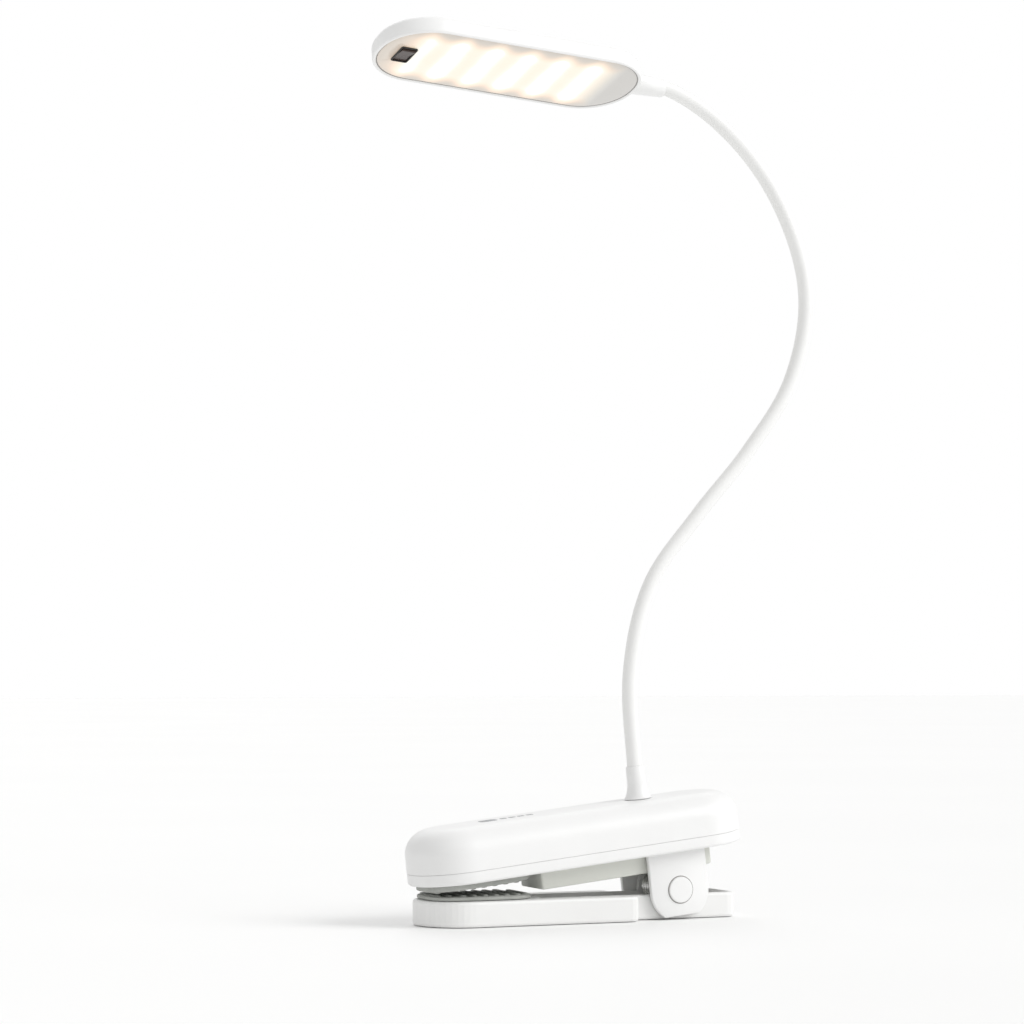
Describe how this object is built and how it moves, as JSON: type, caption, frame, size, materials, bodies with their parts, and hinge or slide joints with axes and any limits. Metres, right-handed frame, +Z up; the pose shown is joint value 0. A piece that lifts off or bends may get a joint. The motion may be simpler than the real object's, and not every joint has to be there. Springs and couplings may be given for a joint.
{
  "type": "clip-on reading lamp",
  "caption": "Clip-on reading lamp: a sprung clip whose upper jaw is the battery housing, a flexible neck and a slim LED head with a rocker switch.",
  "frame": {"origin": "on the flat underside of the lower jaw, straight below the hinge pin", "axes": "+Z up, +X towards the hinge end, -X towards the jaw tips, and the neck bends in the plane Y = 0"},
  "size_m": [0.2185, 0.0547, 0.3896],
  "materials": {
    "white_plastic": "satin moulded white plastic",
    "neck_sleeve": "smooth satin white sleeve over a bendable core",
    "pad_rubber": "soft matte grey",
    "steel": "plated steel",
    "spring_steel": "bright plated wire",
    "brass": "turned brass",
    "opal_diffuser": "opal, lit warm white from behind",
    "indicator_lens": "translucent grey",
    "black_plastic": "matte black",
    "rocker_plastic": "dark brown-black, satin",
    "battery_wrap": "shrink-wrapped cell",
    "circuit_board": "green solder mask",
    "led_board": "white solder mask on a metal core",
    "led_chip": "yellow phosphor"
  },
  "bodies": {
    "clip_base": {"lower_jaw": "white_plastic", "lower_pad": "pad_rubber", "torsion_spring": "spring_steel", "spring_bush": "black_plastic"},
    "housing": {"housing_bottom": "white_plastic", "housing_top": "white_plastic", "upper_pad": "pad_rubber", "hinge_pin": "steel", "pin_cap_near": "white_plastic", "pin_cap_far": "white_plastic", "housing_screw_1": "steel", "housing_screw_2": "steel", "housing_screw_3": "steel", "housing_screw_4": "steel", "battery_cell": "battery_wrap", "battery_saddle_front": "black_plastic", "battery_saddle_rear": "black_plastic", "charge_board": "circuit_board", "charge_socket": "steel", "indicator_lens": "indicator_lens", "base_collar": "white_plastic", "neck_nipple": "brass", "neck_washer": "steel", "neck_nut": "brass", "neck_root": "neck_sleeve"},
    "neck_1": {"neck_link_1": "neck_sleeve"},
    "neck_2": {"neck_link_2": "neck_sleeve"},
    "neck_3": {"neck_link_3": "neck_sleeve"},
    "neck_4": {"neck_link_4": "neck_sleeve"},
    "neck_5": {"neck_link_5": "neck_sleeve"},
    "neck_6": {"neck_link_6": "neck_sleeve"},
    "neck_7": {"neck_link_7": "neck_sleeve"},
    "neck_8": {"neck_link_8": "neck_sleeve"},
    "neck_9": {"neck_link_9": "neck_sleeve"},
    "neck_end": {"neck_tip": "neck_sleeve"},
    "head": {"head_collar": "white_plastic", "head_shell": "white_plastic", "diffuser": "opal_diffuser", "led_board": "led_board", "led_1_1": "led_chip", "led_1_2": "led_chip", "led_1_3": "led_chip", "led_1_4": "led_chip", "led_1_5": "led_chip", "led_1_6": "led_chip", "led_2_1": "led_chip", "led_2_2": "led_chip", "led_2_3": "led_chip", "led_2_4": "led_chip", "led_2_5": "led_chip", "led_2_6": "led_chip", "switch_body": "black_plastic"},
    "switch_rocker": {"rocker": "rocker_plastic"}
  },
  "joints": [
    {"name": "jaw_open", "type": "hinge", "parent": "clip_base", "child": "housing", "pos_m": [0, 0, 0.013], "axis": [0, 1, 0], "range_deg": [0, 30], "stiffness_Nm_per_rad": 0.8, "springref_deg": -28.65, "deforming": ["torsion_spring"]},
    {"name": "neck_bend_1", "type": "hinge", "parent": "housing", "child": "neck_1", "pos_m": [-0.01487, 0, 0.06929], "axis": [0, 1, 0], "range_deg": [-20, 20]},
    {"name": "neck_bend_2", "type": "hinge", "parent": "neck_1", "child": "neck_2", "pos_m": [-0.01661, 0, 0.10926], "axis": [0, 1, 0], "range_deg": [-20, 20]},
    {"name": "neck_swing_3", "type": "hinge", "parent": "neck_2", "child": "neck_3", "pos_m": [-0.00666, 0, 0.148], "axis": [0.9011, 0, -0.4337], "range_deg": [-20, 20]},
    {"name": "neck_bend_4", "type": "hinge", "parent": "neck_3", "child": "neck_4", "pos_m": [0.01741, 0, 0.17994], "axis": [0, 1, 0], "range_deg": [-20, 20]},
    {"name": "neck_bend_5", "type": "hinge", "parent": "neck_4", "child": "neck_5", "pos_m": [0.04365, 0, 0.21013], "axis": [0, 1, 0], "range_deg": [-20, 20]},
    {"name": "neck_swing_6", "type": "hinge", "parent": "neck_5", "child": "neck_6", "pos_m": [0.06573, 0, 0.24349], "axis": [0.9245, 0, -0.3811], "range_deg": [-20, 20]},
    {"name": "neck_bend_7", "type": "hinge", "parent": "neck_6", "child": "neck_7", "pos_m": [0.07357, 0, 0.28271], "axis": [0, -1, 0], "range_deg": [-20, 20]},
    {"name": "neck_bend_8", "type": "hinge", "parent": "neck_7", "child": "neck_8", "pos_m": [0.06214, 0, 0.32105], "axis": [0, -1, 0], "range_deg": [-20, 20]},
    {"name": "neck_swing_9", "type": "hinge", "parent": "neck_8", "child": "neck_9", "pos_m": [0.03773, 0, 0.35274], "axis": [0.6672, 0, 0.7449], "range_deg": [-20, 20]},
    {"name": "head_tilt", "type": "hinge", "parent": "neck_9", "child": "neck_end", "pos_m": [0.00355, 0, 0.37352], "axis": [0, -1, 0], "range_deg": [-20, 20]},
    {"name": "head_roll", "type": "hinge", "parent": "neck_end", "child": "head", "pos_m": [0.00355, 0, 0.37352], "axis": [0.9962, 0.0697, -0.0523], "range_deg": [-40, 40]},
    {"name": "switch_rock", "type": "hinge", "parent": "head", "child": "switch_rocker", "pos_m": [-0.12906, -0.01015, 0.3771], "axis": [0.9962, 0.0697, -0.0523], "range_deg": [-14, 0]}
  ]
}
